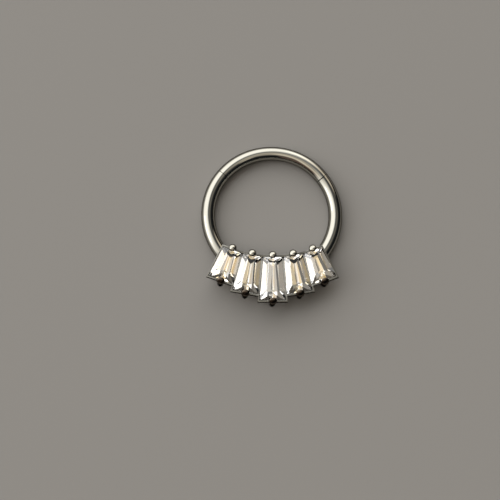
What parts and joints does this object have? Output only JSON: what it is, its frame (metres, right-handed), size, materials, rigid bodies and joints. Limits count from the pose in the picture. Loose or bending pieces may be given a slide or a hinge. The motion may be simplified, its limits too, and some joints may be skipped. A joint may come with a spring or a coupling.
{
  "type": "clicker ring",
  "caption": "Hinged wire piercing ring: a top segment swings open on a pin, and a fan of tapered baguette stones in bead prongs crosses the bottom.",
  "frame": {"origin": "the centre of the hoop, on the plane that the ring's back lies on", "axes": "+Z is the hoop's axis, out of the face that shows the stones; +Y points to the middle of the hinged segment and -Y to the middle stone; +X points to the side that has the hinge"},
  "size_m": [0.0124, 0.0145, 0.0024],
  "materials": {
    "hoop_metal": "mirror polished titanium",
    "gate_metal": "mirror polished titanium",
    "pin_metal": "polished titanium, ends flush with the wire",
    "stone": "colourless faceted cubic zirconia"
  },
  "bodies": {
    "hoop": {"hoop_with_setting": "hoop_metal", "hinge_pin": "pin_metal", "stone_1": "stone", "stone_2": "stone", "stone_3": "stone", "stone_4": "stone", "stone_5": "stone"},
    "gate": {"gate": "gate_metal"}
  },
  "joints": [
    {"name": "gate_hinge", "type": "hinge", "parent": "hoop", "child": "gate", "pos_m": [0.00492, 0.00333, 0.0006], "axis": [0, 0, -1], "range_deg": [0, 65]}
  ]
}
